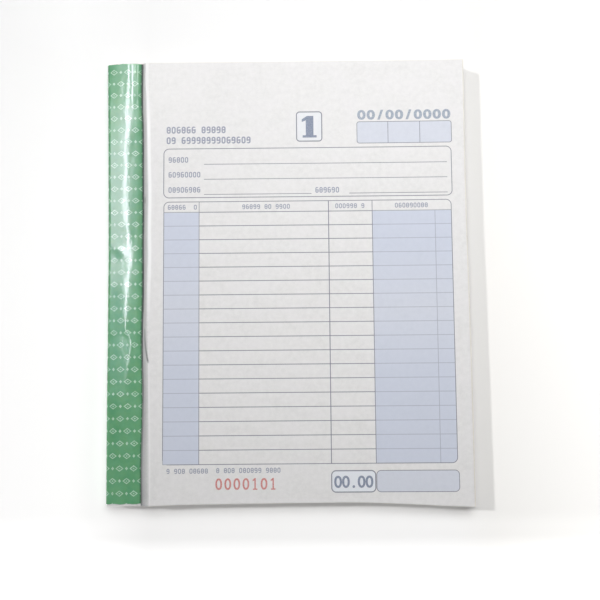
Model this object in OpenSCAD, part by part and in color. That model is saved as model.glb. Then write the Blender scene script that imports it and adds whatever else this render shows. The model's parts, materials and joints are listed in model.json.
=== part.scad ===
// Duplicate quotation book: a side-bound pad of fifty numbered two-part sets, lying on its back.
// Millimetres. +X runs from the spine to the fore edge, +Y to the head of the form, +Z up from the table at z = 0.
// Set 1 is on top. Each leaf has a bound margin under the tape and a free part beyond the crease.

/* [Sheets] */
// width of the book from the spine to the fore edge
book_width = 138; // [110:1:160]
// height of the book along the spine
book_height = 170; // [150:1:230]
// thickness of the paper of an original
original_thickness = 0.072; // [0.060:0.002:0.090]
// thickness of the paper of a duplicate
duplicate_thickness = 0.055; // [0.045:0.001:0.070]
// air between two leaves that lie on each other
leaf_gap = 0.016; // [0.012:0.001:0.020]
// how far the edge of a leaf may stand back from the outline of the block
stagger = 0.45; // [0.10:0.05:0.80]

/* [Carbon sheet] */
// thickness of the carbon sheet
carbon_thickness = 0.030; // [0.020:0.005:0.050]
// how far the carbon sheet stands back from the edges of the leaves
carbon_inset = 3; // [1:0.5:8]
// how far the carbon sheet stands off from the crease
carbon_clear = 9; // [5:0.5:14]

/* [Back and tape] */
// thickness of the card at the back
board_thickness = 0.80; // [0.75:0.05:1.50]
// width of the tape on the front and on the back
tape_width = 14; // [11:0.5:18]
// thickness of the tape
tape_thickness = 0.13; // [0.08:0.01:0.18]
// thickness of a stitched margin as a part of the loose paper's
margin_squeeze = 0.80; // [0.70:0.05:0.95]
// distance from the edge of the tape to the crease where the leaves turn
crease_run = 2.2; // [1.5:0.1:4.0]

/* [Stitches] */
// length of a stitch along the spine
stitch_length = 12; // [10:0.5:14]
// thickness of the flat wire
wire_thickness = 0.50; // [0.40:0.05:0.55]
// width of the flat wire
wire_width = 0.70; // [0.50:0.05:1.00]
// distance between neighbouring stitches
stitch_pitch = 49; // [30:1:52]
// how far the middle stitch lies above the middle of the spine
stitch_shift = 14; // [-14:1:14]
// distance of the stitches from the spine
stitch_inset = 7.3; // [5:0.1:8]
// length of each clinched wire end
clinch_length = 4.8; // [3.0:0.2:4.8]

/* [Hidden] */
sets = 50;
spine_x = -book_width / 2;
fore_x = book_width / 2;
tape_x = spine_x + tape_width;
crease_x = tape_x + crease_run;
margin_x = spine_x + 0.5;
ramp_x = tape_x + 0.10;
leaf_x = crease_x + 0.12;
leaf_height = book_height - 0.5;
tape_height = book_height - 2.4;

// one set of leaves in the loose part and in the stitched margin
leaf_set = original_thickness + duplicate_thickness + 2 * leaf_gap;
margin_original = original_thickness * margin_squeeze;
margin_duplicate = duplicate_thickness * margin_squeeze;
margin_set = margin_original + margin_duplicate + 2 * leaf_gap;

// thickness of leaf d (0 original, 1 duplicate), loose and stitched
function leaf_t(d) = d == 0 ? original_thickness : duplicate_thickness;
function margin_t(d) = d == 0 ? margin_original : margin_duplicate;
// underside of leaf d of set s, loose and stitched; the carbon sheet lifts the uppermost leaf
function leaf_z(s, d) = board_thickness + leaf_gap + (sets - s) * leaf_set
    + (d == 0 ? duplicate_thickness + leaf_gap : 0)
    + (s == 1 && d == 0 ? carbon_thickness + leaf_gap : 0);
function margin_z(s, d) = board_thickness + leaf_gap + (sets - s) * margin_set
    + (d == 0 ? margin_duplicate + leaf_gap : 0);
// small uneven set-back of the leaves at the fore edge and along the spine
function set_back(s, d) = 0.05 + stagger * (0.5 + 0.5 * cos((2 * s - 2 + d) * 137.5));
function head_shift(s, d) = 0.20 * sin((2 * s - 2 + d) * 101.3);

margin_top = margin_z(1, 0) + margin_t(0);
tape_inside = margin_top + 0.02;
crown_top = margin_top;
crown_bottom = crown_top - wire_thickness;
rebate = tape_thickness + 0.01;
clinch_bottom = rebate + 0.01;
stitch_x = spine_x + stitch_inset;
slack = 0.06;

// a straight bar along the spine with the given outline in X and Z
module along_spine(length) {
    rotate([90, 0, 0]) linear_extrude(height = length, center = true) children();
}

// room for the stitches: two slits for the legs, and a bed for the crown in the uppermost margins
module stitch_room(low, high) {
    for (i = [-1, 0, 1]) translate([stitch_x, stitch_shift + i * stitch_pitch, 0]) {
        for (side = [-1, 1])
            translate([-wire_width / 2 - slack,
                    side * (stitch_length / 2 - wire_thickness / 2) - wire_thickness / 2 - slack, low - 0.1])
                cube([wire_width + 2 * slack, wire_thickness + 2 * slack, high - low + 0.2]);
        if (high > crown_bottom - slack)
            translate([-wire_width / 2 - slack, -stitch_length / 2 - slack, min(low, crown_bottom) - 0.1])
                cube([wire_width + 2 * slack, stitch_length + 2 * slack, high - min(low, crown_bottom) + 0.2]);
    }
}

// the bound margin of one leaf: flat under the tape, then up to the crease
module margin(s, d) {
    low = margin_z(s, d);
    high = low + margin_t(d);
    difference() {
        translate([0, head_shift(s, d), 0]) along_spine(leaf_height)
            polygon([[margin_x, low], [ramp_x, low], [crease_x, leaf_z(s, d)],
                [crease_x, leaf_z(s, d) + leaf_t(d)], [ramp_x, high], [margin_x, high]]);
        stitch_room(low, high);
    }
}

// the free part of one leaf, beyond the crease
module leaf(s, d) {
    translate([leaf_x, -leaf_height / 2 + head_shift(s, d), leaf_z(s, d)])
        cube([fore_x - set_back(s, d) - leaf_x, leaf_height, leaf_t(d)]);
}

module originals(first, last) {
    color([0.93, 0.92, 0.90]) for (s = [first:last]) leaf(s, 0);
}

module duplicates(first, last) {
    color([0.93, 0.90, 0.82]) for (s = [first:last]) leaf(s, 1);
}

// card back: thinned under the back flap of the tape, with beds for the clinched wire
module back_board() {
    color([0.62, 0.58, 0.52]) difference() {
        translate([margin_x, -book_height / 2, 0])
            cube([fore_x - margin_x, book_height, board_thickness]);
        translate([margin_x - 1, -book_height / 2 - 1, -1])
            cube([tape_x + 0.05 - margin_x + 1, book_height + 2, 1 + rebate]);
        for (i = [-1, 0, 1]) translate([stitch_x, stitch_shift + i * stitch_pitch, 0]) {
            translate([-wire_width / 2 - slack, -stitch_length / 2 - slack, -1])
                cube([wire_width + 2 * slack, stitch_length + 2 * slack, 1 + clinch_bottom + wire_thickness + 0.02]);
            for (side = [-1, 1])
                translate([-wire_width / 2 - slack,
                        side * (stitch_length / 2 - wire_thickness / 2) - wire_thickness / 2 - slack, 0])
                    cube([wire_width + 2 * slack, wire_thickness + 2 * slack, board_thickness + 1]);
        }
    }
}

// film strip round the spine: front flap, spine and back flap
module binding_tape() {
    t = tape_thickness;
    top = tape_inside + t;
    c = 0.40;
    k = c - 0.6 * t;
    color([0.05, 0.55, 0.28]) along_spine(tape_height)
        polygon([[tape_x, 0], [spine_x + c, 0], [spine_x, c], [spine_x, top - c], [spine_x + c, top], [tape_x, top],
            [tape_x, top - t], [spine_x + t + k, top - t], [spine_x + t, top - t - k],
            [spine_x + t, t + k], [spine_x + t + k, t], [tape_x, t]]);
}

// flat-wire stitches, ends clinched inwards under the board
module staples() {
    w = wire_thickness;
    h = stitch_length / 2;
    e = h - clinch_length;
    b = clinch_bottom;
    color([0.72, 0.73, 0.75]) for (i = [-1, 0, 1])
        translate([stitch_x, stitch_shift + i * stitch_pitch, 0])
            rotate([90, 0, 90]) linear_extrude(height = wire_width, center = true)
                polygon([[-h, crown_top], [-h, b], [-e, b], [-e, b + w], [-h + w, b + w], [-h + w, crown_bottom],
                    [h - w, crown_bottom], [h - w, b + w], [e, b + w], [e, b], [h, b], [h, crown_top]]);
}

module original_margins() {
    color([0.93, 0.92, 0.90]) for (s = [1:sets]) margin(s, 0);
}

module duplicate_margins() {
    color([0.93, 0.90, 0.82]) for (s = [1:sets]) margin(s, 1);
}

// loose sheet between the uppermost original and its duplicate
module carbon_sheet() {
    color([0.09, 0.10, 0.16])
        translate([crease_x + carbon_clear, -leaf_height / 2 + carbon_inset,
                leaf_z(1, 1) + duplicate_thickness + leaf_gap])
            cube([fore_x - carbon_inset - crease_x - carbon_clear, leaf_height - 2 * carbon_inset, carbon_thickness]);
}

module original_01() { originals(1, 1); }
module duplicate_01() { duplicates(1, 1); }
module original_02() { originals(2, 2); }
module duplicate_02() { duplicates(2, 2); }
module original_03() { originals(3, 3); }
module duplicate_03() { duplicates(3, 3); }
module original_04() { originals(4, 4); }
module duplicate_04() { duplicates(4, 4); }
module original_05() { originals(5, 5); }
module duplicate_05() { duplicates(5, 5); }
module originals_06_10() { originals(6, 10); }
module duplicates_06_10() { duplicates(6, 10); }
module originals_11_15() { originals(11, 15); }
module duplicates_11_15() { duplicates(11, 15); }
module originals_16_20() { originals(16, 20); }
module duplicates_16_20() { duplicates(16, 20); }
module originals_21_25() { originals(21, 25); }
module duplicates_21_25() { duplicates(21, 25); }
module originals_26_30() { originals(26, 30); }
module duplicates_26_30() { duplicates(26, 30); }
module originals_31_35() { originals(31, 35); }
module duplicates_31_35() { duplicates(31, 35); }
module originals_36_40() { originals(36, 40); }
module duplicates_36_40() { duplicates(36, 40); }
module originals_41_45() { originals(41, 45); }
module duplicates_41_45() { duplicates(41, 45); }
module originals_46_50() { originals(46, 50); }
module duplicates_46_50() { duplicates(46, 50); }

back_board();
binding_tape();
staples();
original_margins();
duplicate_margins();
carbon_sheet();
original_01();
duplicate_01();
original_02();
duplicate_02();
original_03();
duplicate_03();
original_04();
duplicate_04();
original_05();
duplicate_05();
originals_06_10();
duplicates_06_10();
originals_11_15();
duplicates_11_15();
originals_16_20();
duplicates_16_20();
originals_21_25();
duplicates_21_25();
originals_26_30();
duplicates_26_30();
originals_31_35();
duplicates_31_35();
originals_36_40();
duplicates_36_40();
originals_41_45();
duplicates_41_45();
originals_46_50();
duplicates_46_50();
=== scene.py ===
import json
import math

import bmesh
import bpy
import numpy as np
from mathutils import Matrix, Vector


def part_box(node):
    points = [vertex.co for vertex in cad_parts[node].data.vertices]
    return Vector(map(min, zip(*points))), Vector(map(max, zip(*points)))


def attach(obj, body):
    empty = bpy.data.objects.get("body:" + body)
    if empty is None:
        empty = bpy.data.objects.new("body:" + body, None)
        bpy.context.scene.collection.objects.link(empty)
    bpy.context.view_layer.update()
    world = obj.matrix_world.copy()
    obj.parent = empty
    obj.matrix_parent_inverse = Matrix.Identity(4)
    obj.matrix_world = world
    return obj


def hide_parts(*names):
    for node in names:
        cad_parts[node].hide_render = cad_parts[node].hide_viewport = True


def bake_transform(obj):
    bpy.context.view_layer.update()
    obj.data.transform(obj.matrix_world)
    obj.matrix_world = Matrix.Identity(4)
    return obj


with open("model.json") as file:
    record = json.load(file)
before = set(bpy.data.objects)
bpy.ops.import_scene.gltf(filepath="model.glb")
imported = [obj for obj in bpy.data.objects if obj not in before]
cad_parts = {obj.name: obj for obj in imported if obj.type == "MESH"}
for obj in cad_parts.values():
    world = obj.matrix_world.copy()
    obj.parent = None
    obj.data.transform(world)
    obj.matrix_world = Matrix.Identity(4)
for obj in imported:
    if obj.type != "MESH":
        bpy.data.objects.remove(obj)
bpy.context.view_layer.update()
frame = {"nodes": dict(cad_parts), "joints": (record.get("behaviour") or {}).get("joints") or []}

MM = 0.001
scene = bpy.context.scene

# ----------------------------------------------------------------------------------------------
# measures of the book, in millimetres, taken from the frame
# ----------------------------------------------------------------------------------------------
turn = {j["child"]: j for j in frame["joints"] if j["type"] == "hinge"}
AXIS_X = turn["original_01_leaf"]["pos_m"][0] / MM          # crease
t_lo, t_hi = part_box("binding_tape")
SPINE_X, TAPE_X = t_lo.x / MM, t_hi.x / MM                  # -69, -55
TAPE_Y = t_hi.y / MM
b_lo, b_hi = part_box("back_board")
BOARD_Z, FORE_X = b_hi.z / MM, b_hi.x / MM
STUB_X = b_lo.x / MM
LEAF_H = 169.5
SETS = 50
FILM = 0.13


def smooth(a, b, x):
    t = np.clip((x - a) / (b - a), 0.0, 1.0)
    return t * t * (3 - 2 * t)


def gauss(d, s):
    return np.exp(-(d / s) ** 2)


def hash01(ix, iy, seed):
    h = (ix * 374761393 + iy * 668265263 + seed * 974711) & 0xFFFFFFFF
    h = ((h ^ (h >> 13)) * 1274126177) & 0xFFFFFFFF
    h = h ^ (h >> 16)
    return (h & 0xFFFF) / 65535.0


def vnoise(x, y, seed):
    """Smooth value noise from -1 to 1."""
    x, y = np.broadcast_arrays(np.asarray(x, float), np.asarray(y, float))
    ix, iy = np.floor(x).astype(np.int64), np.floor(y).astype(np.int64)
    fx, fy = x - ix, y - iy
    fx, fy = fx * fx * (3 - 2 * fx), fy * fy * (3 - 2 * fy)
    a = hash01(ix, iy, seed) * (1 - fx) + hash01(ix + 1, iy, seed) * fx
    b = hash01(ix, iy + 1, seed) * (1 - fx) + hash01(ix + 1, iy + 1, seed) * fx
    return 2 * (a * (1 - fy) + b * fy) - 1


# ----------------------------------------------------------------------------------------------
# the shape of the block: how the uppermost leaf lies, and the film over the bound margin
# ----------------------------------------------------------------------------------------------
ROUND = 1.7          # rounding of the film at the front of the spine
# places along the spine, and there: the front edge of the film, the crest of the crease and the slant of the spine
FILM_EDGE = ((-85, -77, -67, -56, -44, -35, -25, -19, -10, 1, 13, 23, 32, 45, 59, 70, 85),
             (-55.0, -55.05, -55.05, -54.8, -54.72, -54.94, -55.15, -55.2, -55.0, -54.96, -55.05, -55.02, -55.13, -55.22, -55.43, -55.78, -55.82))
CREST = ((-85, -77, -68, -57, -46, -36, -25, -12, 0, 10, 20, 30, 44, 57, 69, 79, 85),
         (-51.75, -51.75, -51.8, -51.95, -52.15, -52.25, -52.5, -52.75, -52.6, -52.5, -52.65, -52.55, -52.9, -53.15, -53.6, -54.1, -54.2))
SLANT = ((-85, -64, -38, -8, 23, 50, 78, 85), (0.70, 0.64, 0.58, 0.58, 0.46, 0.10, -0.38, -0.46))
RIDGE = ((-85, -44, -36, -31, -26, -23.2, -19.5, -17, -12, -7, -2, 3, 8, 13, 18, 23, 28, 33, 38, 43, 48, 53, 58, 63, 66, 69, 73, 85),
         (-61.6, -61.6, -60.8, -60.1, -59.55, -59.4, -61.25, -61.35, -61.4, -61.25, -61.0, -60.2, -59.55, -60.3, -60.6, -61.6, -61.85, -61.8, -61.85, -61.6, -62.0, -62.1, -61.3, -61.3, -61.5, -61.25, -61.0, -60.9))

DRIFT = ((-85, -40, -10, 25, 50, 85), (-61.6, -61.2, -60.9, -61.2, -61.7, -61.2))


def along(y, places):
    """Smooth line through measured places."""
    ys, vs = (np.array(k, float) for k in places)
    slope = np.gradient(vs, ys)
    y = np.clip(np.asarray(y, float), ys[0], ys[-1])
    k = np.clip(np.searchsorted(ys, y) - 1, 0, len(ys) - 2)
    h = ys[k + 1] - ys[k]
    t = (y - ys[k]) / h
    return ((1 + 2 * t) * (1 - t) ** 2 * vs[k] + t * (1 - t) ** 2 * h * slope[k]
            + t * t * (3 - 2 * t) * vs[k + 1] + t * t * (t - 1) * h * slope[k + 1])


def ridge_x(y):
    return along(y, RIDGE)


def ridge_w(y):
    return np.interp(y, (-85, -44, -36, -28, -25, -23, -18, -14, -6, -2, 3, 8, 12, 15, 18, 23, 28, 34, 38, 43, 51, 58, 63, 66, 69, 73, 85),
                     (1.6, 1.2, 0.8, 0.9, 0.7, 0.25, 0.3, 0.9, 1.4, 2.1, 2.1, 1.9, 2.6, 1.6, 0.9, 2.0, 2.1, 2.3, 2.6, 2.2, 2.0, 2.2, 3.2, 2.8, 1.4, 0.8, 0.7))


def film_edge(y):
    """Front edge of the film, a little uneven."""
    return along(y, FILM_EDGE) + 0.04 * vnoise(y / 2.3, 0.7, 42)


def film_plain(x, y):
    """Top of the front flap without its fine creases."""
    d = x - ridge_x(y)
    calm = 0.60 + 0.40 * smooth(-70, -20, y)
    kl = 0.098 * calm * (1 - 0.17 * gauss(y - 10.8 + 0.40 * (x + 62.6), 2.4))
    kr = 0.060 * calm
    w = ridge_w(y)
    z = 8.06 - 0.10 * smooth(40, 84, y) - (0.5 * (kl + kr) * (np.sqrt(w * w + d * d) - w) + 0.5 * (kr - kl) * d)
    # towards the spine the film lies evenly, whatever the ridge does
    far = 1 - smooth(-7.0, -0.8, d)
    z = z + far * (kl * (ridge_x(y) - along(y, DRIFT)) - 0.5 * (kl + kr) * (w - 2.0))
    z = z - 0.012 * np.maximum(0, -(d + 2.2)) ** 2
    z = z + 0.055 * gauss(x + 58.9, 0.50) * smooth(61, 73, y)
    for yc in (63.0, 14.0, -35.0):          # stitches press through the film
        z = z + 0.014 * gauss(x + 61.7, 1.2) * smooth(yc - 7.4, yc - 5.4, y) * smooth(yc + 7.4, yc + 5.4, y)
        for ye in (yc - 6.0, yc + 6.0):
            z = z - 0.010 * gauss(x + 61.7, 1.5) * gauss(y - ye - math.copysign(1.5, ye - yc), 1.0)
    return z - 0.075 * np.maximum(0, x - (film_edge(y) - 2.1)) ** 2


def film_top(x, y):
    fine = 0.014 * vnoise(x / 2.3, y / 9.0, 3) + 0.008 * vnoise(x / 1.0, y / 3.6, 5) + 0.005 * vnoise(x / 0.55, y / 1.5, 8)
    # a small cross fold
    u = y - 10.8 + 0.40 * (x + 62.6)
    fold = 0.165 * smooth(-66.9, -64.5, x) * np.clip((-60.9 - x) / 3.6, 0, 1) * gauss(u, np.where(u > 0, 1.0, 2.8))
    return film_plain(x, y) + fine + fold


def sheet_top(x, y):
    """Height of the uppermost leaf beyond the crease."""
    u, v = (x - 8.0) / 61.0, y / 85.0
    return (8.8 + 0.107 * u - 0.156 * v + 0.241 * u ** 2 - 0.038 * u * v - 0.113 * v ** 2 + 0.188 * u ** 3
            - 0.245 * u ** 2 * v + 0.104 * u * v ** 2 - 0.255 * v ** 3 + 0.099 * u ** 2 * v ** 2
            + 0.205 * u ** 4 - 0.182 * v ** 4 - 0.001 * u ** 3 * v - 0.066 * u * v ** 3)


def stack_top(x, y):
    """Top of the leaf block over the whole width, from the bound edge to the fore edge."""
    x, y = np.broadcast_arrays(np.asarray(x, float), np.asarray(y, float))
    low = smooth(-22, -46, y)
    edge = film_edge(y)
    # under the film
    turn_x = SPINE_X + along(y, SLANT) + ROUND
    xs = np.minimum(x, edge)
    under = film_plain(np.maximum(xs, turn_x), y)
    dx = np.clip(turn_x - xs, 0, ROUND)
    under = under - (ROUND - np.sqrt(np.maximum(ROUND ** 2 - dx ** 2, 0.0))) - 0.25 - 0.10 * dx / ROUND
    under = under - (0.42 - 0.22 * low) * smooth(edge - 1.3, edge + 0.1, x)
    # the free part
    crest = along(y, CREST)
    over = sheet_top(np.maximum(x, -53.0), y)
    over = over + (0.26 + 0.06 * vnoise(y / 23.0, 0.5, 11)) * np.exp(-np.maximum(x - crest, 0) / (2.6 + 1.6 * low))
    over = over - 0.10 * gauss(x - (crest + 6.0), 3.0)
    # a small pressed crescent at the crease
    bend = -54.1 + 1.75 * np.clip((-18.0 - y) / 14.0, 0, 1) ** 2
    over = over - 0.26 * gauss(x - bend, 0.42) * smooth(-17.5, -22.0, y) * smooth(-33.0, -30.5, y)
    rise = smooth(edge + 0.10, crest + 0.15, x)
    return under * (1 - rise) + over * rise - 0.06 * low * gauss(x - (edge + 0.8), 0.7)


def cockle(x, y, seed):
    """Faint waviness of thin paper."""
    away = smooth(-50, -30, x)
    return away * (0.030 * vnoise(x / 31.0, y / 37.0, seed) + 0.012 * vnoise(x / 12.0, y / 15.0, seed + 1))


def set_back(s, d):
    return 0.05 + 0.45 * (0.5 + 0.5 * math.cos(math.radians((2 * s - 2 + d) * 137.5)))


def head_shift(s, d):
    return 0.16 * math.sin(math.radians((2 * s - 2 + d) * 101.3))


rng = np.random.default_rng(20)
N_LEAVES = 2 * SETS
gaps = 0.84 + 0.34 * rng.random(N_LEAVES + 1) ** 2
phase, length = rng.random(N_LEAVES + 1) * 6.283, 26 + 40 * rng.random(N_LEAVES + 1)


def share(i, x, y):
    """How high leaf i (0 lowest) lies in the block, from 0 to 1, at the points x, y."""
    x, y = np.broadcast_arrays(np.asarray(x, float), np.asarray(y, float))
    even = (i + 0.5) / N_LEAVES
    w = gaps[:, None] * (1 + 0.12 * np.sin(y.ravel()[None, :] * 6.283 / length[:, None] + phase[:, None]))
    c = np.cumsum(w, axis=0)
    loose = ((c[i] - 0.5 * w[i]) / c[N_LEAVES - 1]).reshape(y.shape)
    k = smooth(-50, -10, x)
    return even * (1 - k) + loose * k


def slant_share(z):
    """The spine stands straight at the board and leans over higher up."""
    return smooth(0.9, 3.5, z)


def leaf_index(s, d):
    return N_LEAVES - 1 - (2 * (s - 1) + d)


def leaf_mid(s, d, x, y):
    """Middle height of a leaf at the points x, y."""
    i = leaf_index(s, d)
    z = BOARD_Z + share(i, x, y) * (stack_top(x, y) + cockle(x, y, 31) - BOARD_Z)
    if s == 1 and d == 0:
        z = z + 0.034 * smooth(-50, -44, x)
    return z


def leaf_t(d):
    return 0.056 if d == 0 else 0.044


# ----------------------------------------------------------------------------------------------
# small mesh kit
# ----------------------------------------------------------------------------------------------
class Build:
    """Collects closed solids of one piece: points, faces, material numbers, two sets of map places."""

    def __init__(self):
        self.v, self.f, self.m, self.uv, self.bake, self.soft = [], [], [], [], [], []
        self.n = 0

    def add(self, v, faces, mats, uv, bake, soft):
        """faces: list of tuples of local numbers; uv, bake: one (k, 2) list for each face."""
        self.v.append(np.asarray(v, float))
        for f in faces:
            self.f.append(tuple(int(k) + self.n for k in f))
        self.m += list(mats)
        self.uv += uv
        self.bake += bake
        self.soft += list(soft)
        self.n += len(v)

    def done(self, name, materials):
        me = bpy.data.meshes.new(name)
        me.from_pydata((np.concatenate(self.v) * MM).tolist(), [], self.f)
        me.polygons.foreach_set("material_index", np.array(self.m, np.int32))
        me.polygons.foreach_set("use_smooth", np.array(self.soft, bool))
        total = np.array([len(f) for f in self.f])
        edge_of = np.zeros(len(me.loops), np.int32)
        me.loops.foreach_get("edge_index", edge_of)
        crisp = np.zeros(len(me.edges), bool)
        crisp[edge_of[np.repeat(~np.array(self.soft, bool), total)]] = True
        me.edges.foreach_set("use_edge_sharp", crisp)
        for layer, data in (("sheet", self.uv), ("OFBake", self.bake)):
            lay = me.uv_layers.new(name=layer)
            lay.data.foreach_set("uv", np.concatenate([np.asarray(p, np.float32).reshape(-1, 2) for p in data]).ravel())
        me.uv_layers["OFBake"].active = True
        for m in materials:
            me.materials.append(m)
        me.update()
        ob = bpy.data.objects.new(name, me)
        scene.collection.objects.link(ob)
        return ob


def rect_map(a, b, box):
    """Places from 0..1 shares a, b in a map box u0, v0, u1, v1."""
    u0, v0, u1, v1 = box
    return np.stack([u0 + (u1 - u0) * a, v0 + (v1 - v0) * b], -1)


def add_sheet(build, X, Y, Z, t, mats, front, back, edge):
    """A closed thin sheet over the grid X, Y with middle height Z. mats: front, back, edge material numbers."""
    nx, ny = X.shape
    gx, gy = np.gradient(Z, axis=0), np.gradient(Z, axis=1)
    dx, dy = np.gradient(X, axis=0), np.gradient(Y, axis=1)
    sx, sy = gx / dx, gy / dy
    nn = np.sqrt(1 + sx ** 2 + sy ** 2)
    top = np.stack([X - sx / nn * t / 2, Y - sy / nn * t / 2, Z + t / 2 / nn], -1)
    bot = np.stack([X + sx / nn * t / 2, Y + sy / nn * t / 2, Z - t / 2 / nn], -1)
    v = np.concatenate([top.reshape(-1, 3), bot.reshape(-1, 3)])
    idx = np.arange(nx * ny).reshape(nx, ny)
    low = idx + nx * ny
    q = np.stack([idx[:-1, :-1], idx[1:, :-1], idx[1:, 1:], idx[:-1, 1:]], -1).reshape(-1, 4)
    qb = np.stack([low[:-1, :-1], low[:-1, 1:], low[1:, 1:], low[1:, :-1]], -1).reshape(-1, 4)
    place = np.stack([(X + 69.0) / 200.0, (Y + 100.0) / 200.0], -1).reshape(-1, 2)
    place = np.concatenate([place, place])
    ax = (X - X.min()) / (X.max() - X.min())
    ay = (Y - Y.min()) / (Y.max() - Y.min())
    pf = rect_map(ax, ay, front).reshape(-1, 2)
    pb = rect_map(ax, ay, back).reshape(-1, 2)
    pb = np.concatenate([pb, pb])
    faces = [tuple(f) for f in q] + [tuple(f) for f in qb]
    uv = [place[f] for f in q] + [place[f] for f in qb]
    bake = [pf[f] for f in q] + [pb[f] for f in qb]
    m = [mats[0]] * len(q) + [mats[1]] * len(qb)
    soft = [True] * (len(q) + len(qb))
    u0, v0, u1, v1 = edge
    ring = [(idx[:, 0], low[:, 0]), (idx[-1, :], low[-1, :]), (idx[::-1, -1], low[::-1, -1]), (idx[0, ::-1], low[0, ::-1])]
    for k, (a, b) in enumerate(ring):
        n = len(a) - 1
        va, vb = v0 + (v1 - v0) * (k + 0.1) / 4, v0 + (v1 - v0) * (k + 0.9) / 4
        for j in range(n):
            faces.append((a[j], b[j], b[j + 1], a[j + 1]))
            uv.append(place[[a[j], b[j], b[j + 1], a[j + 1]]])
            ua, ub = u0 + (u1 - u0) * j / n, u0 + (u1 - u0) * (j + 1) / n
            bake.append([(ua, va), (ua, vb), (ub, vb), (ub, va)])
            m.append(mats[2])
            soft.append(False)
    build.add(v, faces, m, uv, bake, soft)


# ----------------------------------------------------------------------------------------------
# plain figures as thin ink
# ----------------------------------------------------------------------------------------------
_glyphs = {}


def figure_one(bold):
    """The figure 1 with a flag and a foot, in the same units as the other figures."""
    base, cap = glyph("0", bold)[3][1], glyph("0", bold)[4][1]
    h, w = cap - base, 0.055 + bold
    q = [(-0.21, 0.0), (0.21, 0.0), (0.21, 0.105), (w, 0.105), (w, 1.0), (-w * 0.7, 1.0), (-0.235, 0.845), (-0.235, 0.725), (-w, 0.80), (-w, 0.105), (-0.21, 0.105)]
    p = np.array([(x * h, base + y * h) for x, y in q])
    tri = [(0, 1, 2), (0, 2, 3), (0, 3, 9), (0, 9, 10), (9, 3, 4), (9, 4, 8), (8, 4, 5), (8, 5, 6), (8, 6, 7)]
    rim = [(k, (k + 1) % len(q)) for k in range(len(q))]
    return p, tri, rim, p.min(0), p.max(0)


def glyph(ch, bold):
    """Flat outline of one figure at unit height: points, triangles and rim edges."""
    if (ch, bold) in _glyphs:
        return _glyphs[ch, bold]
    if ch == "1":
        _glyphs[ch, bold] = figure_one(bold)
        return _glyphs[ch, bold]
    cu = bpy.data.curves.new("figure", "FONT")
    cu.body, cu.size, cu.offset, cu.resolution_u = ch, 1.0, bold, 4
    ob = bpy.data.objects.new("figure", cu)
    scene.collection.objects.link(ob)
    dg = bpy.context.evaluated_depsgraph_get()
    dg.update()
    me = bpy.data.meshes.new_from_object(ob.evaluated_get(dg))
    bm = bmesh.new()
    bm.from_mesh(me)
    bmesh.ops.remove_doubles(bm, verts=bm.verts, dist=1e-4)
    bmesh.ops.dissolve_degenerate(bm, dist=1e-4, edges=bm.edges)
    bmesh.ops.triangulate(bm, faces=bm.faces)
    bm.normal_update()
    for f in bm.faces:
        if f.normal.z < 0:
            f.normal_flip()
    bm.verts.index_update()
    p = np.array([(v.co.x, v.co.y) for v in bm.verts])
    tri = [tuple(v.index for v in f.verts) for f in bm.faces]
    rim = []
    for f in bm.faces:
        for lp in f.loops:
            if len(lp.edge.link_faces) == 1:
                rim.append((lp.vert.index, lp.link_loop_next.vert.index))
    bm.free()
    bpy.data.objects.remove(ob)
    bpy.data.curves.remove(cu)
    bpy.data.meshes.remove(me)
    lo, hi = p.min(0), p.max(0)
    _glyphs[ch, bold] = (p, tri, rim, lo, hi)
    return _glyphs[ch, bold]


def add_figures(build, text, x0, y0, height, pitch, mat, lift, cells, bold=0.0, wide=1.0):
    """Figures of one height standing on the line y0, one to each pitch, laid on the surface lift(x, y)."""
    unit = glyph("0", bold)
    scale = height / (unit[4][1] - unit[3][1])
    for k, ch in enumerate(text):
        if ch == " ":
            continue
        p, tri, rim, lo, hi = glyph(ch, bold)
        mid = 0.5 * (lo[0] + hi[0])
        x = x0 + (k + 0.5) * pitch + (p[:, 0] - mid) * scale * wide
        y = y0 + (p[:, 1] - unit[3][1]) * scale
        z = lift(x, y)
        n = len(p)
        v = np.concatenate([np.stack([x, y, z + 0.012], -1), np.stack([x, y, z - 0.020], -1)])
        faces = [t for t in tri] + [(t[2] + n, t[1] + n, t[0] + n) for t in tri] + [(b, a, a + n, b + n) for a, b in rim]
        place = np.stack([(v[:, 0] + 69) / 200, (v[:, 1] + 100) / 200], -1)
        uv = [place[list(f)] for f in faces]
        u0, v0, u1, v1 = next(cells)
        du, dv = u1 - u0, v1 - v0
        a = (x - x.min()) / max(x.max() - x.min(), 1e-6)
        b = (y - y.min()) / max(y.max() - y.min(), 1e-6)
        pt = rect_map(a, b, (u0, v0 + 0.16 * dv, u0 + 0.44 * du, v0 + 0.96 * dv))
        pb = rect_map(a, b, (u0 + 0.50 * du, v0 + 0.16 * dv, u0 + 0.94 * du, v0 + 0.96 * dv))
        bake = [pt[list(t)] for t in tri] + [pb[[t[2], t[1], t[0]]] for t in tri]
        for j in range(len(rim)):
            ua, ub = u0 + 0.94 * du * j / len(rim), u0 + 0.94 * du * (j + 1) / len(rim)
            bake.append([(ua, v0 + 0.02 * dv), (ub, v0 + 0.02 * dv), (ub, v0 + 0.11 * dv), (ua, v0 + 0.11 * dv)])
        build.add(v, faces, [mat] * len(faces), uv, bake, [False] * len(faces))


def cell_grid(u0, v0, u1, v1, nu, nv):
    for j in range(nv):
        for i in range(nu):
            yield (u0 + (u1 - u0) * i / nu, v0 + (v1 - v0) * j / nv, u0 + (u1 - u0) * (i + 0.96) / nu, v0 + (v1 - v0) * (j + 0.96) / nv)


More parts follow.
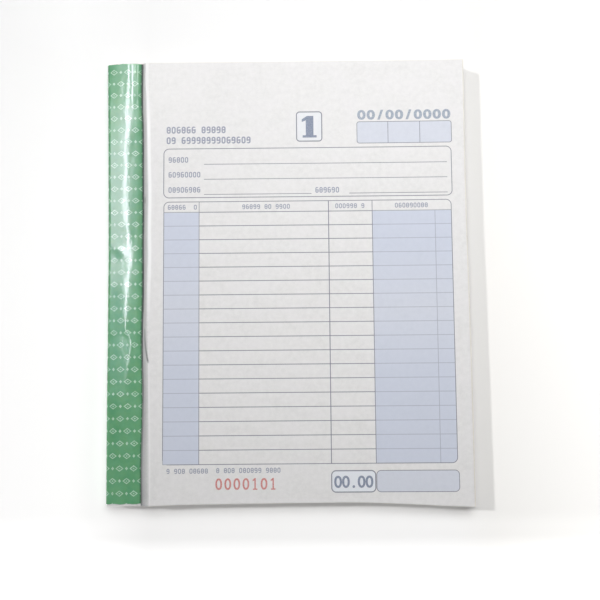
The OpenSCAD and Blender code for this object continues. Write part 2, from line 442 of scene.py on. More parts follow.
# ----------------------------------------------------------------------------------------------
# materials
# ----------------------------------------------------------------------------------------------
class Val:
    """A number that varies over a surface, so that node sums read as sums."""

    def __init__(self, net, socket):
        self.net, self.s = net, socket

    def op(self, kind, *rest, clamp=False):
        n = self.net.nodes.new("ShaderNodeMath")
        n.operation, n.use_clamp = kind, clamp
        for k, a in enumerate((self, *rest)):
            if isinstance(a, Val):
                self.net.links.new(a.s, n.inputs[k])
            else:
                n.inputs[k].default_value = float(a)
        return Val(self.net, n.outputs[0])

    def __add__(self, o): return self.op("ADD", o)
    def __radd__(self, o): return self.op("ADD", o)
    def __sub__(self, o): return self.op("SUBTRACT", o)
    def __rsub__(self, o): return self.op("MULTIPLY_ADD", -1.0, o)
    def __mul__(self, o): return self.op("MULTIPLY", o)
    def __rmul__(self, o): return self.op("MULTIPLY", o)
    def __truediv__(self, o): return self.op("DIVIDE", o)
    def abs(self): return self.op("ABSOLUTE")
    def min(self, o): return self.op("MINIMUM", o)
    def max(self, o): return self.op("MAXIMUM", o)
    def fract(self): return self.op("FRACT")
    def floor(self): return self.op("FLOOR")
    def sqrt(self): return self.op("SQRT")
    def lin(self, k, c, clamp=True): return self.op("MULTIPLY_ADD", k, c, clamp=clamp)
    def over(self, o): return self.op("GREATER_THAN", o)


class Net:
    def __init__(self, name):
        self.mat = bpy.data.materials.new(name)
        self.mat.use_nodes = True
        self.tree = self.mat.node_tree
        self.nodes, self.links = self.tree.nodes, self.tree.links
        self.nodes.clear()
        out = self.nodes.new("ShaderNodeOutputMaterial")
        self.bsdf = self.nodes.new("ShaderNodeBsdfPrincipled")
        self.links.new(self.bsdf.outputs[0], out.inputs[0])

    def put(self, name, value):
        s = self.bsdf.inputs[name]
        if isinstance(value, Val):
            self.links.new(value.s, s)
        elif isinstance(value, bpy.types.NodeSocket):
            self.links.new(value, s)
        elif isinstance(value, (tuple, list)):
            s.default_value = (*value, 1.0) if len(value) == 3 else value
        else:
            s.default_value = value

    def uv(self, layer):
        n = self.nodes.new("ShaderNodeUVMap")
        n.uv_map = layer
        return n.outputs[0]

    def obj(self):
        return self.nodes.new("ShaderNodeTexCoord").outputs["Object"]

    def split(self, vec):
        n = self.nodes.new("ShaderNodeSeparateXYZ")
        self.links.new(vec, n.inputs[0])
        return [Val(self, o) for o in n.outputs]

    def vec(self, x, y, z=0.0):
        n = self.nodes.new("ShaderNodeCombineXYZ")
        for k, a in enumerate((x, y, z)):
            if isinstance(a, Val):
                self.links.new(a.s, n.inputs[k])
            else:
                n.inputs[k].default_value = a
        return n.outputs[0]

    def noise(self, vec, scale, detail=3.0, rough=0.55, out=0):
        n = self.nodes.new("ShaderNodeTexNoise")
        self.links.new(vec, n.inputs["Vector"])
        n.inputs["Scale"].default_value = scale
        n.inputs["Detail"].default_value = detail
        n.inputs["Roughness"].default_value = rough
        return Val(self, n.outputs[out])

    def white(self, vec):
        n = self.nodes.new("ShaderNodeTexWhiteNoise")
        n.noise_dimensions = "2D"
        self.links.new(vec, n.inputs["Vector"])
        return Val(self, n.outputs["Value"])

    def curve(self, val, places):
        """A number that follows the measured places along val."""
        ys, vs = places
        lo, hi = min(vs), max(vs)
        n = self.nodes.new("ShaderNodeFloatCurve")
        c = n.mapping.curves[0]
        pts = [((y - ys[0]) / (ys[-1] - ys[0]), (v - lo) / (hi - lo)) for y, v in zip(ys, vs)]
        c.points[0].location, c.points[1].location = pts[0], pts[-1]
        for q in pts[1:-1]:
            c.points.new(*q)
        n.mapping.update()
        self.links.new(val.op("MULTIPLY_ADD", 1 / (ys[-1] - ys[0]), -ys[0] / (ys[-1] - ys[0])).s, n.inputs["Value"])
        return Val(self, n.outputs[0]) * (hi - lo) + lo

    def mix(self, fac, a, b):
        n = self.nodes.new("ShaderNodeMix")
        n.data_type = "RGBA"
        if isinstance(fac, Val):
            self.links.new(fac.s, n.inputs[0])
        else:
            n.inputs[0].default_value = fac
        for k, c in ((6, a), (7, b)):
            if isinstance(c, bpy.types.NodeSocket):
                self.links.new(c, n.inputs[k])
            else:
                n.inputs[k].default_value = (*c, 1.0)
        return n.outputs[2]

    def bump(self, height, strength, distance):
        n = self.nodes.new("ShaderNodeBump")
        n.inputs["Strength"].default_value = strength
        n.inputs["Distance"].default_value = distance
        self.links.new(height.s, n.inputs["Height"])
        self.links.new(n.outputs[0], self.bsdf.inputs["Normal"])


def lin(r, g, b):
    """Linear colour of an sRGB colour given from 0 to 255."""
    return tuple(((c / 255 + 0.055) / 1.055) ** 2.4 if c > 10 else c / 255 / 12.92 for c in (r, g, b))


def form_masks(net, X, Y):
    """Ink cover of the form: pale fill, rules and small marks, each from 0 to 1."""
    soft = 0.09

    def box(cx, cy, hx, hy, r):
        qx, qy = (X - cx).abs() - (hx - r), (Y - cy).abs() - (hy - r)
        ox, oy = qx.max(0.0), qy.max(0.0)
        return (ox * ox + oy * oy).sqrt() + qx.max(qy).min(0.0) - r

    def span(x0, x1, y0, y1, r):
        return box((x0 + x1) / 2, (y0 + y1) / 2, (x1 - x0) / 2, (y1 - y0) / 2, r)

    def full(d): return d.lin(-1 / soft, 0.5)
    def line(d, w): return d.abs().lin(-1 / soft, 0.5 + w / 2 / soft)
    def within(v, a, b): return (v - (a + b) / 2).abs().lin(-1 / soft, 0.5 + (b - a) / 2 / soft)

    # outlined boxes
    date = span(27.3, 63.5, 51.3, 59.7, 0.9)
    badge = span(4.1, 13.8, 52.3, 63.8, 1.2)
    head = span(-46.9, 63.2, 30.65, 49.7, 2.0)
    tab = span(-46.8, 62.7, -70.03, 29.0, 2.0)
    square = within(X, -46.8, -44.0) * within(Y, -70.03, -67.2)
    label = span(16.0, 32.3, -80.5, -72.7, 1.6)
    total = span(32.7, 63.2, -80.5, -72.7, 1.6)
    tab_in = full(tab)
    below = within(Y, -70.0, 24.957)
    side = (X.lin(-1 / soft, 0.5 - 33.33 / soft)).max(X.lin(1 / soft, 0.5 - 32.63 / soft))
    fill = (tab_in.max(square) * below * side).max(full(date) * 0.74).max(full(total) * 0.76)
    pale = full(label).max(full(badge) * 0.55)
    rules = line(date, 0.22).max(line(badge, 0.38)).max(line(head, 0.28)).max(line(label, 0.38)).max(line(total, 0.24))
    # outline of the table, with one square corner
    outline = line(tab, 0.26) * (1.0 - square)
    corner = square * line((X + 46.8).min(Y + 70.03), 0.26)
    rules = rules.max(outline).max(corner)
    # rows and columns of the table
    pitch = 5.277
    row = ((Y - (24.957 + pitch / 2)) * (1 / pitch)).fract() * pitch - pitch / 2
    rows = line(row, 0.28) * within(Y, -71.0, 25.4)
    cols = line(X + 33.33, 0.22).max(line(X - 16.0, 0.33)).max(line(X - 32.63, 0.25)).max(line(X - 56.48, 0.22) * within(Y, -70.03, 24.957) * 0.55)
    rules = rules.max((rows * (1.0 - below * side * 0.60)).max(cols) * tab_in)
    # cells of the dated box, writing lines of the heading
    rules = rules.max(line(X - 39.2, 0.20).max(line(X - 51.4, 0.20)) * full(date))
    write = (line(Y - 43.6, 0.22).max(line(Y - 37.75, 0.22)) * within(X, -31.5, 61.5)).max(
        line(Y - 31.85, 0.22) * within(X, -31.5, 61.5) * (1.0 - within(X, 9.6, 24.0)))
    rules = rules.max(write)

    # captions: rows of plain figures, each a ring with or without a bar and a gap
    def captions(step, hx, hy, w, seed, spots):
        c = X * (1 / step)
        cell, cx = c.floor(), (c.fract() - 0.5) * step
        cy, row, shown = None, None, None
        for k, (x0, x1, yc) in enumerate(spots):
            x0, x1 = round(x0 / step) * step, round(x1 / step) * step
            sel = (X - (x0 + x1) / 2).abs().op("LESS_THAN", (x1 - x0) / 2) * (Y - yc).abs().op("LESS_THAN", hy + 0.2)
            one, num = (Y - yc) * sel, sel * (1.7 * k + seed)
            cy, row, shown = (one, num, sel) if cy is None else (cy + one, row + num, shown.max(sel))
        r1, r2 = net.white(net.vec(cell, row)), net.white(net.vec(cell, row + 31.3))
        r = hx * 0.96
        qx, qy = cx.abs() - (hx - r), cy.abs() - (hy - r)
        ox, oy = qx.max(0.0), qy.max(0.0)
        ring = full(((ox * ox + oy * oy).sqrt() + qx.max(qy).min(0.0) - (r - w / 2)).abs() - w / 2)
        bar = full((cy.abs() - w / 2).max(cx.abs() - hx)) * r1.over(0.34)
        gap = full((cx * -1.0 + 0.08).max((cy - hy * 0.45).abs() - hy * 0.20)) * r1.over(0.80)
        tail = full((cx + 0.08).max((cy + hy * 0.45).abs() - hy * 0.20)) * (r1.over(0.58) * (1.0 - r1.over(0.80)))
        return ring.max(bar) * (1.0 - gap.max(tail)) * shown * r2.over(0.10)

    text = captions(1.92, 0.78, 1.36, 0.52, 0.5, ((-45.4, -24.0, 57.1), (-45.4, -13.5, 53.0)))
    text = text.max(captions(1.56, 0.62, 1.10, 0.38, 5.3, (
        (-45.3, -37.0, 45.4), (-45.3, -32.6, 39.6), (-45.3, -32.6, 33.7), (11.0, 22.4, 33.2))))
    text = text.max(captions(1.42, 0.56, 0.94, 0.32, 7.1, (
        (-45.4, -34.6, 26.95), (-17.6, 1.6, 26.95), (18.6, 30.2, 26.95), (41.0, 53.4, 26.95),
        (-47.0, -29.6, -72.4), (-26.7, -2.6, -72.3))))
    return fill, pale, rules, text


def paper_net(name, base, tint, printed, ink_strength=1.0, perforated=False):
    net = Net(name)
    place = net.uv("sheet")
    U, V, _ = net.split(place)
    X, Y = U * 200.0 - 69.0, V * 200.0 - 100.0
    fibre = net.noise(place, 520.0, 4.0, 0.62)
    cloud = net.noise(place, 26.0, 3.0, 0.5)
    speck = net.noise(place, 1500.0, 2.0, 0.6)
    mottle = net.noise(place, 110.0, 3.0, 0.6)
    tone = (fibre - 0.5) * 0.55 + (cloud - 0.5) * 0.45 + (mottle - 0.5) * 1.00 + (speck - 0.5) * 0.25 + 0.5
    tone = tone.lin(1.0, 0.0)
    dark, light = tuple(c * 0.90 for c in base), tuple(min(1.0, c * 1.10) for c in base)
    colour = net.mix(tone, dark, light)
    colour = net.mix(cloud.lin(1.6, -0.65), colour, tint)
    if printed:
        wob = net.noise(place, 900.0, 2.0, 0.6)
        fx = X + (wob - 0.5) * 0.10
        fy = Y + (wob - 0.5) * 0.08
        fill, pale, rules, text = form_masks(net, fx, fy)
        wear = net.noise(place, 340.0, 3.0, 0.6).lin(1.5, 0.20)
        thinner = 1.0 - (Y + 12.0).abs().lin(-1 / 24.0, 1.0) * 0.20
        colour = net.mix(fill * thinner * (0.62 * ink_strength) * wear.lin(0.55, 0.62), colour, lin(190, 200, 223))
        colour = net.mix(pale * 0.7, colour, (0.800, 0.838, 0.900))
        colour = net.mix(rules * (0.78 * ink_strength) * wear.lin(0.35, 0.72), colour, lin(76, 81, 104))
        colour = net.mix(text * (0.66 * ink_strength) * wear.lin(0.45, 0.65), colour, lin(88, 102, 138))
    if perforated:
        dash = ((Y * (1 / 1.25)).fract() - 0.5).abs().lin(-14.0, 0.5 + 14.0 * 0.30)
        cut = dash * (X + 52.6).abs().lin(-18.0, 0.5 + 18.0 * 0.085)
        colour = net.mix(cut * 0.16, colour, (0.22, 0.21, 0.20))
    # painted light: the paper is made lighter at the head by the spine
    colour = net.mix(X.lin(-1 / 20.0, -1.2) * Y.lin(1 / 15.0, -3.6) * 0.15, colour, (0.985, 0.980, 0.965))
    # paper at the crease: a painted highlight on the crest at the upper half; between film and crest a grey band,
    # partly painted shade of the groove and partly glue and handling grime
    low = Y.lin(-1 / 26.0, -0.85)
    edge, crest = net.curve(Y, FILM_EDGE), net.curve(Y, CREST)
    off, past = X - edge, X - crest
    t = (off / (crest - edge)).lin(1.0, 0.0)
    # painted highlight along the crest, broad at the upper half and a thinner line at the lower half
    crest_highlight = (past - 0.30).abs().lin(-1 / 0.5, 1.9) * Y.lin(1 / 20.0, 0.9) * (Y.lin(-1 / 14.0, 5.2) * 0.51 + 0.34)
    crest_highlight = crest_highlight.max((past - 0.25).abs().lin(-1 / 0.3, 1.4) * low * 0.30)
    colour = net.mix(crest_highlight, colour, (0.985, 0.985, 0.985))
    rough = net.noise(place, 620.0, 3.0, 0.7)
    # grey band between film and crest: partly painted shade of the groove, partly glue and handling grime, greyer at
    # the foot
    between = past.lin(-1 / 0.30, 0.35) * off.lin(1 / 0.2, 0.5)
    grey = (1.0 - t) * (low * 0.14 + 0.30) + 0.10 + Y.lin(-1 / 6.0, -12.4) * 0.12
    colour = net.mix(between * grey * rough.lin(1.6, 0.2), colour, lin(112, 115, 120))
    # painted shadow: a dark line on the paper along the film's front edge, fainter at the lower half
    thin = (off - 0.08).abs().lin(-1 / 0.20, 2.1) * (low.lin(-0.45, 0.92))
    # painted shade in the small pressed crescent at the crease
    turned = (Y + 18.0).lin(-1 / 14.0, 0.0)
    crescent_shade = (X + 54.1 - turned * turned * 1.75).abs().lin(-1 / 0.42, 1.35) * (Y + 25.4).abs().lin(-1 / 1.2, 5.9) * (turned * 0.50 + 0.22)
    # a small dark spot by the film's edge at the upper half
    dark_spot = ((X + 54.25) * (X + 54.25) * 2.6 + (Y - 30.2) * (Y - 30.2) * 0.22).lin(-1.0, 0.7) * 0.55
    colour = net.mix(thin.max(crescent_shade).max(dark_spot) * mottle.lin(1.0, 0.5), colour, lin(74, 80, 80))
    net.put("Base Color", colour)
    net.put("Roughness", (fibre - 0.5).lin(0.25, 0.86))
    net.put("Specular IOR Level", 0.18)
    net.bump(fibre * 0.7 + speck * 0.3, 0.22, 0.00006)
    return net.mat


def ink_net(name, colour, worn):
    net = Net(name)
    place = net.uv("sheet")
    n = net.noise(place, 420.0, 3.0, 0.65)
    net.put("Base Color", net.mix(n.lin(2.2, -0.70), colour, worn))
    net.put("Roughness", 0.62)
    net.put("Specular IOR Level", 0.25)
    net.bump(n, 0.2, 0.00003)
    return net.mat


ORIG = (0.800, 0.793, 0.788)
DUPL = (0.800, 0.775, 0.715)
paper_front = paper_net("original_form", ORIG, (0.80, 0.786, 0.795), True, 1.0, True)
paper_plain = paper_net("original_plain", ORIG, (0.79, 0.785, 0.78), False, 1.0, True)
copy_front = paper_net("duplicate_form", DUPL, (0.80, 0.77, 0.70), True, 0.9)
copy_plain = paper_net("duplicate_plain", DUPL, (0.79, 0.765, 0.70), False)
ink_red = ink_net("ink_red", lin(196, 118, 115), lin(222, 168, 162))
ink_blue = ink_net("ink_blue", lin(118, 128, 150), lin(164, 172, 186))
ink_pale = ink_net("ink_pale", lin(142, 152, 168), lin(188, 196, 205))


def film_net():
    net = Net("green_film")
    place = net.uv("sheet")
    U, V, _ = net.split(place)
    S, Y = U * 200.0, V * 200.0 - 100.0
    cloud = net.noise(place, 30.0, 4.0, 0.55)
    grain = net.noise(place, 700.0, 3.0, 0.6)
    colour = net.mix(cloud.lin(1.5, -0.25), lin(86, 155, 110), lin(120, 180, 138))
    colour = net.mix((grain - 0.5).lin(1.4, 0.25) * 0.35, colour, lin(60, 133, 88))
    colour = net.mix(net.noise(place, 75.0, 3.0, 0.6).lin(2.4, -1.0) * 0.55, colour, lin(112, 166, 106))
    # painted shade: the film is a little darker and greyer towards the head
    colour = net.mix(Y.lin(1 / 40.0, 0.3) * 0.15, colour, lin(84, 128, 112))
    # pale hollow lozenges in offset rows, with small solid ones between them
    px, py = 5.4, 4.6
    r = Y * (1 / py)
    odd = (r.floor() * 0.5).fract()
    c = S * (1 / px) + odd
    a = (c.fract() - 0.5) * px
    b = (r.fract() - 0.5) * py
    e = ((c + 0.5).fract() - 0.5) * px
    inner = a.abs() * (1 / 1.60) + b.abs() * (1 / 1.20)
    lozenge = (inner - 0.80).abs().lin(-9.0, 9.0 * 0.16 + 0.5).max(inner.lin(-9.0, 9.0 * 0.24 + 0.5))
    dot = (e.abs() * (1 / 0.60) + b.abs() * (1 / 0.75)).lin(-5.0, 5.0 * 0.9 + 0.5)
    worn = net.noise(place, 240.0, 3.0, 0.65).lin(1.8, -0.25)
    colour = net.mix(lozenge.max(dot) * worn * 0.88, colour, lin(212, 238, 222))
    # painted shade along the front edge
    colour = net.mix(S.lin(-1 / 0.55, 1.15) * 0.75, colour, lin(44, 66, 56))
    net.put("Base Color", colour)
    net.put("Roughness", (cloud - 0.5).lin(0.20, 0.165))
    net.put("IOR", 1.52)
    net.put("Coat Weight", 0.35)
    net.put("Coat Roughness", 0.10)
    crinkle = net.noise(place, 160.0, 3.0, 0.55)
    net.bump(crinkle * 0.8 + grain * 0.2, 0.30, 0.00012)
    return net.mat


def card_net():
    net = Net("grey_card")
    place = net.obj()
    fibre = net.noise(place, 900.0, 4.0, 0.7)
    flake = net.noise(place, 260.0, 3.0, 0.6)
    cloud = net.noise(place, 22.0, 3.0, 0.5)
    colour = net.mix(fibre.lin(1.9, -0.45), lin(150, 142, 130), lin(196, 188, 174))
    colour = net.mix(flake.over(0.66) * 0.5, colour, lin(118, 110, 100))
    colour = net.mix(cloud.lin(1.4, -0.4) * 0.4, colour, lin(186, 176, 158))
    net.put("Base Color", colour)
    net.put("Roughness", (fibre - 0.5).lin(0.3, 0.84))
    net.put("Specular IOR Level", 0.22)
    net.bump(fibre * 0.6 + flake * 0.4, 0.45, 0.00012)
    return net.mat


def wire_net():
    net = Net("stitching_wire")
    place = net.obj()
    draw = net.noise(place, 2400.0, 3.0, 0.6)
    cloud = net.noise(place, 300.0, 2.0, 0.5)
    net.put("Base Color", net.mix(cloud.lin(1.6, -0.3), (0.50, 0.51, 0.52), (0.70, 0.71, 0.72)))
    net.put("Metallic", 1.0)
    net.put("Roughness", (draw - 0.5).lin(0.35, 0.32))
    net.bump(draw, 0.25, 0.00002)
    return net.mat


def carbon_net():
    net = Net("carbon_coat")
    place = net.uv("sheet")
    rub = net.noise(place, 46.0, 4.0, 0.6)
    grain = net.noise(place, 900.0, 3.0, 0.6)
    colour = net.mix(rub.lin(2.0, -0.6), (0.012, 0.015, 0.040), (0.030, 0.036, 0.085))
    colour = net.mix(grain.over(0.63) * 0.35, colour, (0.060, 0.068, 0.13))
    net.put("Base Color", colour)
    net.put("Roughness", (rub - 0.5).lin(0.4, 0.46))
    net.put("Specular IOR Level", 0.45)
    net.bump(grain * 0.5 + rub * 0.5, 0.25, 0.00005)
    return net.mat


green_film, grey_card, steel, carbon_coat = film_net(), card_net(), wire_net(), carbon_net()

# ----------------------------------------------------------------------------------------------
# leaves
# ----------------------------------------------------------------------------------------------
FRONT = (0.004, 0.004, 0.738, 0.996)
STUB_COLS = [0.0, 0.045, 0.10, 0.20, 0.32, 0.44, 0.56, 0.68, 0.80, 0.90]


def columns(right, fine):
    left = STUB_X + 0.02
    a = left + (TAPE_X - left) * np.array(STUB_COLS)
    step = 0.14 if fine else 0.36
    b = np.arange(TAPE_X - 1.1, -49.9, step)
    bend = np.arange(b[-1] + 0.6, AXIS_X + 9.2, 0.6)
    n = 42 if fine else 15
    c = bend[-1] + (right - bend[-1]) * np.linspace(0, 1, n + 1)[1:] ** 1.35
    return np.concatenate([a, b, bend, c])


def rows(shift, n):
    return np.linspace(-LEAF_H / 2, LEAF_H / 2, n) + shift


FOOT = ((-70, -52, -40, -20, 5, 25, 33, 45, 58, 69), (-0.30, -0.30, 0.05, 0.25, 0.40, 0.50, 0.25, -0.30, -0.95, -1.35))


def leaf_grid(s, d, fine, n_rows):
    """Points of a leaf. The block is cut a little short at the head and not quite straight at the foot and the fore edge."""
    xs = columns(FORE_X - set_back(s, d), fine)
    ys = rows(head_shift(s, d), n_rows)
    X, Y = np.meshgrid(xs, ys, indexing="ij")
    Y = Y - 0.90 * smooth(60, 85, Y) + np.interp(X, *FOOT) * smooth(-60, -85, Y)
    X = X - 0.45 * gauss(Y - 35.0, 45.0) * smooth(40, 69, X)
    X = X + along(Y, SLANT) * smooth(-58.0, STUB_X, X) * slant_share(BOARD_Z + 7.0 * (leaf_index(s, d) + 0.5) / N_LEAVES)
    return X, Y, leaf_mid(s, d, X, Y)


def lift_of(s, d):
    return lambda x, y: leaf_mid(s, d, x, y) + leaf_t(d) / 2


def figures(build, s, d, cells):
    up = lift_of(s, d)
    add_figures(build, "%07d" % (100 + s), -27.6, -79.4, 4.3, 3.36, 3, up, cells, 0.012, 0.92)
    add_figures(build, "%d" % (d + 1), 4.1, 53.7, 8.5, 9.7, 4, up, cells, 0.060, 1.50)
    add_figures(build, "00/00/0000", 27.3, 60.45, 3.9, 3.62, 5, up, cells, 0.040, 1.25)
    add_figures(build, "00.00", 16.9, -79.0, 4.5, 2.90, 4, up, cells, 0.020, 1.0)


def single(s, d):
    name = ("original_%02d" if d == 0 else "duplicate_%02d") % s
    fine = s == 1 and d == 0
    build = Build()
    X, Y, Z = leaf_grid(s, d, fine, 97 if fine else 49)
    add_sheet(build, X, Y, Z, leaf_t(d), (0, 1, 2), FRONT, (0.746, 0.32, 0.996, 0.996), (0.746, 0.004, 0.996, 0.030))
    figures(build, s, d, cell_grid(0.746, 0.036, 0.996, 0.312, 6, 5))
    mats = [paper_front, paper_plain, paper_plain] if d == 0 else [copy_front, copy_plain, copy_plain]
    ob = build.done(name + "_sheet", mats + [ink_red, ink_blue, ink_pale])
    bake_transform(ob)
    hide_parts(name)


def bundle(a, d):
    tag = "%02d_%02d" % (a, a + 4)
    name = ("originals_" if d == 0 else "duplicates_") + tag
    build = Build()
    k = 0
    for n, s in enumerate(range(a, a + 5)):
        X, Y, Z = leaf_grid(s, d, False, 31)
        strip = lambda j: (0.746, 0.32 + 0.075 * j, 0.996, 0.32 + 0.075 * j + 0.071)
        front = FRONT if n == 0 else strip(k)
        k += 0 if n == 0 else 1
        back = strip(k)
        k += 1
        mats = (0, 1, 2) if n == 0 else (1, 1, 2)
        add_sheet(build, X, Y, Z, leaf_t(d), mats, front, back, (0.746, 0.200 + 0.022 * n, 0.996, 0.220 + 0.022 * n))
        if n == 0 and d == 0:
            figures(build, s, d, cell_grid(0.746, 0.006, 0.996, 0.196, 6, 5))
    mats = [paper_front, paper_plain, paper_plain] if d == 0 else [copy_front, copy_plain, copy_plain]
    ob = build.done(name + "_sheets", mats + [ink_red, ink_blue, ink_pale])
    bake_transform(ob)
    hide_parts(name)


for s in range(1, 6):
    for d in (0, 1):
        single(s, d)
for a in range(6, 51, 5):
    for d in (0, 1):
        bundle(a, d)
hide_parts("original_margins")
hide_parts("duplicate_margins")

# ----------------------------------------------------------------------------------------------
# carbon sheet
# ----------------------------------------------------------------------------------------------
c_lo, c_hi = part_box("carbon_sheet")
xs = np.linspace(c_lo.x / MM, c_hi.x / MM, 40)
ys = np.linspace(c_lo.y / MM, c_hi.y / MM, 49)
X, Y = np.meshgrid(xs, ys, indexing="ij")
below = leaf_mid(1, 1, X, Y) + leaf_t(1) / 2
above = leaf_mid(1, 0, X, Y) - leaf_t(0) / 2
build = Build()
add_sheet(build, X, Y, 0.5 * (below + above), 0.020, (0, 0, 0), (0.004, 0.26, 0.60, 0.996), (0.61, 0.26, 0.996, 0.996), (0.004, 0.004, 0.996, 0.06))
carbon = build.done("carbon_sheet_loose", [carbon_coat])
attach(carbon, "carbon")
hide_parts("carbon_sheet")

# ----------------------------------------------------------------------------------------------
# binding tape: one film from the front flap round the spine to the back flap
# ----------------------------------------------------------------------------------------------
def tape_section(y, edge):
    """Outer line of the film at the height y, from the front edge to the back edge."""
    lean = float(along(y, SLANT))
    turn_x = SPINE_X + lean + ROUND
    xf = np.concatenate([np.linspace(edge, edge - 2.2, 14), np.linspace(edge - 2.2, turn_x, 52)[1:]])
    zf = film_top(xf, y)
    z0 = zf[-1]
    a = np.linspace(0, math.pi / 2, 10)[1:]
    xr, zr = turn_x - ROUND * np.sin(a), z0 - ROUND + ROUND * np.cos(a)
    zs = np.linspace(z0 - ROUND, 0.55, 14)[1:]
    xs = SPINE_X + lean * slant_share(zs) + 0.05 * np.sin((zs - 0.55) / (z0 - ROUND - 0.55) * math.pi) * (1 + vnoise(y / 14.0, zs / 3.0, 21)) * 0.5
    b = np.linspace(0, math.pi / 2, 6)[1:]
    xb, zb = SPINE_X + 0.55 - 0.55 * np.cos(b), 0.55 - 0.55 * np.sin(b)
    xk = np.linspace(SPINE_X + 0.55, min(edge, TAPE_X) - 0.1, 24)[1:]
    zk = np.zeros_like(xk)
    x, z = np.concatenate([xf, xr, xs, xb, xk]), np.concatenate([zf, zr, zs, zb, zk])
    return x, z


def tape():
    ny = 300
    ys = np.linspace(-TAPE_Y - 0.75, TAPE_Y + 0.15, ny)
    outer = []
    for y in ys:
        x, z = tape_section(y, float(film_edge(y)))
        outer.append(np.stack([x, np.full_like(x, y), z], -1))
    P = np.stack(outer, 1)                                  # along the section, along the spine
    # ends of the film are cut a little unevenly
    n = P.shape[0]
    s = np.concatenate([[0], np.cumsum(np.linalg.norm(np.diff(P[:, ny // 2, [0, 2]], axis=0), axis=1))])
    for sign, seed in ((1, 51), (-1, 52)):
        cut = 0.22 * vnoise(s / 2.6, 0.5, seed) + 0.10 * vnoise(s / 0.8, 0.5, seed + 4) - 0.25
        near = smooth(TAPE_Y - 5.0, TAPE_Y + 0.15, sign * P[:, :, 1])
        P[:, :, 1] += sign * near * cut[:, None]
    tx, ty = np.gradient(P, axis=0), np.gradient(P, axis=1)
    nrm = np.cross(ty, tx)
    nrm /= np.linalg.norm(nrm, axis=-1, keepdims=True)
    if nrm[6, ny // 2, 2] < 0:
        nrm = -nrm
    Q = P - FILM * nrm
    v = np.concatenate([P.reshape(-1, 3), Q.reshape(-1, 3)])
    idx = np.arange(n * ny).reshape(n, ny)
    low = idx + n * ny
    place = np.stack([np.broadcast_to((s / 200.0)[:, None], (n, ny)), (P[:, :, 1] + 100) / 200.0], -1).reshape(-1, 2)
    place = np.concatenate([place, place])
    sa, ya = s / s[-1], np.linspace(0, 1, ny)
    A, B = np.meshgrid(sa, ya, indexing="ij")
    po = rect_map(A, B, (0.004, 0.004, 0.62, 0.996)).reshape(-1, 2)
    pi = rect_map(A, B, (0.64, 0.06, 0.996, 0.996)).reshape(-1, 2)
    pi = np.concatenate([pi, pi])
    q = np.stack([idx[:-1, :-1], idx[:-1, 1:], idx[1:, 1:], idx[1:, :-1]], -1).reshape(-1, 4)
    mid = q[len(q) // 2]
    fn = np.cross(v[mid[1]] - v[mid[0]], v[mid[3]] - v[mid[0]])
    out = nrm.reshape(-1, 3)[mid[0]]
    if fn @ out < 0:
        q = q[:, ::-1]
    qb = (q + n * ny)[:, ::-1]
    faces = [tuple(f) for f in q] + [tuple(f) for f in qb]
    uv = [place[f] for f in q] + [place[f] for f in qb]
    bake = [po[f] for f in q] + [pi[f] for f in qb]
    flip = fn @ out < 0
    ring = [(idx[:, 0], low[:, 0]), (idx[-1, :], low[-1, :]), (idx[::-1, -1], low[::-1, -1]), (idx[0, ::-1], low[0, ::-1])]
    for k, (a, b) in enumerate(ring):
        m = len(a) - 1
        va, vb = 0.004 + 0.011 * k, 0.012 + 0.011 * k
        for j in range(m):
            f = (a[j], a[j + 1], b[j + 1], b[j])
            if flip:
                f = f[::-1]
            faces.append(f)
            uv.append(place[list(f)])
            ua, ub = 0.64 + 0.356 * j / m, 0.64 + 0.356 * (j + 1) / m
            c = [(ua, va), (ub, va), (ub, vb), (ua, vb)]
            bake.append(c[::-1] if flip else c)
    soft = [True] * (len(q) * 2) + [False] * (len(faces) - 2 * len(q))
    build = Build()
    build.add(v, faces, [0] * len(faces), uv, bake, soft)
    ob = build.done("binding_tape_film", [green_film])
    bm = bmesh.new()
    bm.from_mesh(ob.data)
    bmesh.ops.recalc_face_normals(bm, faces=bm.faces)
    bm.to_mesh(ob.data)
    bm.free()
    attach(ob, "pad")
    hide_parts("binding_tape")


tape()

# ----------------------------------------------------------------------------------------------
# carried-over solids
# ----------------------------------------------------------------------------------------------
for node, mat in (("back_board", grey_card), ("staples", steel)):
    me = frame["nodes"][node].data
    me.materials.clear()
    me.materials.append(mat)

# ----------------------------------------------------------------------------------------------
# floor, light and camera
# ----------------------------------------------------------------------------------------------
me = bpy.data.meshes.new("floor")
me.from_pydata([(-30, -30, -0.0003), (30, -30, -0.0003), (30, 30, -0.0003), (-30, 30, -0.0003)], [], [(0, 1, 2, 3)])
floor = bpy.data.objects.new("floor", me)
scene.collection.objects.link(floor)
net = Net("floor_pale")
fx, fy, fz = net.split(net.obj())
# painted light: the floor's colour is darker towards the head and lighter towards the foot, evening out the soft lamp
fade = fy.lin(-1 / 0.24, 0.5)
tex = net.noise(net.obj(), 40.0, 3.0, 0.5)
even = net.mix(fade, (0.86, 0.86, 0.858), (0.965, 0.96, 0.955))
# a warmer floor tint over the right side, painted for the tone of the shadow there
warm_shadow_tint = net.mix(fade, (0.866, 0.855, 0.832), (0.970, 0.955, 0.928))
net.put("Base Color", net.mix(fx.lin(1 / 0.02, -3.0), even, warm_shadow_tint))
net.put("Roughness", (tex - 0.5).lin(0.1, 0.9))
net.put("Specular IOR Level", 0.1)
net.put("Emission Color", (1.0, 0.995, 0.99))
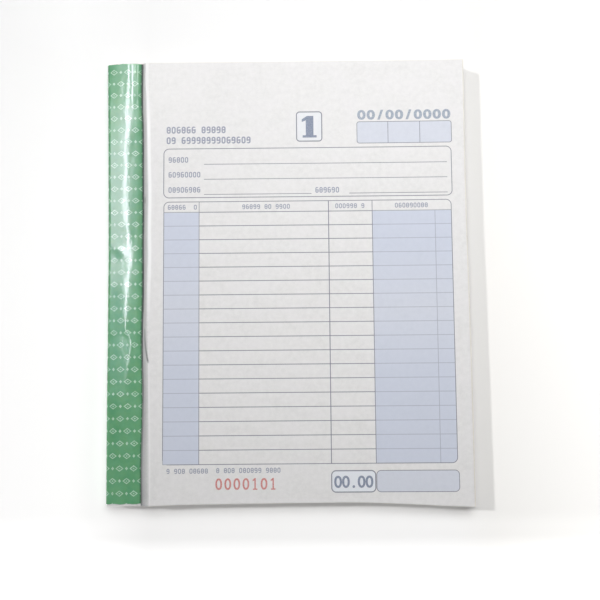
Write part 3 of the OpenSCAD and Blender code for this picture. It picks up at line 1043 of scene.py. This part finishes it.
# painted light: the floor glows brighter left and right of the book, towards and below the foot, in a strip beside the
# spine and along the foot edge, lightening the shade there; far from the book it glows evenly
painted_floor_light = fx.lin(-1 / 0.03, -1.8) * (fy.lin(-1 / 0.2, 0.5) * 0.14 + 0.08) + fx.lin(1 / 0.04, -1.9) * 0.16 + fy.lin(-1 / 0.008, -12.3) * 0.25 + fy.lin(-1 / 0.004, -22.5) * 0.06
painted_floor_light = painted_floor_light + fx.lin(1 / 0.006, 12.5) * fx.lin(-1 / 0.002, -33.0) * fy.abs().lin(-1 / 0.02, 4.75) * 0.09
painted_floor_light = painted_floor_light + (fy + 0.0868).abs().lin(-1 / 0.0016, 1.5) * fx.abs().lin(-1 / 0.01, 7.0) * 0.055
away = fx.abs().max(fy.abs()).lin(1 / 0.16, -0.85) * 0.75
net.put("Emission Strength", (painted_floor_light + fy.lin(-1 / 0.17, 0.5) * 0.06 + 0.05).max(away))
me.materials.append(net.mat)


def area(name, at, to, sx, sy, radiance, spread=180.0):
    d = bpy.data.lights.new(name, "AREA")
    d.shape, d.size, d.size_y = "RECTANGLE", sx, sy
    d.energy = radiance * math.pi * sx * sy
    d.spread = math.radians(spread)
    ob = bpy.data.objects.new(name, d)
    scene.collection.objects.link(ob)
    ob.location = at
    ob.rotation_mode = "QUATERNION"
    ob.rotation_quaternion = (Vector(to) - Vector(at)).to_track_quat("-Z", "Y")
    return ob


soft = area("soft_overhead", (0.04, 0.13, 0.46), (0.04, 0.13, 0.0), 0.26, 0.20, 4.05, 110.0)
soft.visible_glossy = False
sun = bpy.data.lights.new("key", "SUN")
sun.energy, sun.angle = 0.93, math.radians(3.2)
key = bpy.data.objects.new("key", sun)
key.visible_glossy = False
scene.collection.objects.link(key)
key.rotation_mode = "QUATERNION"
key.rotation_quaternion = Vector((0.895, -0.305, -1.0)).to_track_quat("-Z", "Y")

# bright panes that show only in gloss
def pane(name, x0, x1, y0, y1, radiance, colour=(1.0, 1.0, 1.0)):
    ob = area(name, ((x0 + x1) / 2, (y0 + y1) / 2, 0.45), ((x0 + x1) / 2, (y0 + y1) / 2, 0.0), x1 - x0, y1 - y0, radiance)
    ob.data.color = colour
    ob.visible_diffuse = False


COOL, ROSE = (0.80, 0.90, 1.28), (1.0, 0.88, 1.06)
pane("pane_left", -0.55, -0.19, 0.061, 0.2105, 6.2, ROSE)
pane("pane_left_mid", -0.55, -0.19, 0.020, 0.061, 1.5, COOL)
pane("pane_left_inner", -0.31, -0.19, 0.020, 0.061, 3.0, COOL)
pane("pane_left_low", -0.55, -0.19, -0.034, 0.020, 1.1, COOL)
pane("pane_strip", -0.1925, -0.1375, 0.004, 0.38, 18.5, ROSE)
pane("pane_small", -0.1925, -0.1375, -0.028, -0.010, 11.0, ROSE)
pane("pane_right", -0.135, -0.035, -0.02, 0.28, 0.42, COOL)
pane("pane_head", -0.55, -0.19, 0.2105, 0.2515, 4.2)
pane("pane_corner", -0.135, -0.005, 0.231, 0.3105, 18.0)

world = bpy.data.worlds.new("World")
scene.world = world
world.use_nodes = True
bg = world.node_tree.nodes["Background"]
bg.inputs[0].default_value = (1.0, 1.0, 1.0, 1.0)
bg.inputs[1].default_value = 0.15

cam = bpy.data.cameras.new("camera")
cam.sensor_width, cam.lens = 36.0, 853.59 / 600 * 36
cam.clip_start, cam.clip_end = 0.01, 50
camera = bpy.data.objects.new("camera", cam)
scene.collection.objects.link(camera)
camera.location = (0.005857, -0.037008, 0.330)
camera.rotation_mode = "XYZ"
camera.rotation_euler = (math.radians(4.9878), math.radians(0.227), math.radians(-0.5131))
scene.camera = camera

scene.view_settings.view_transform = "Standard"
scene.view_settings.look = "None"
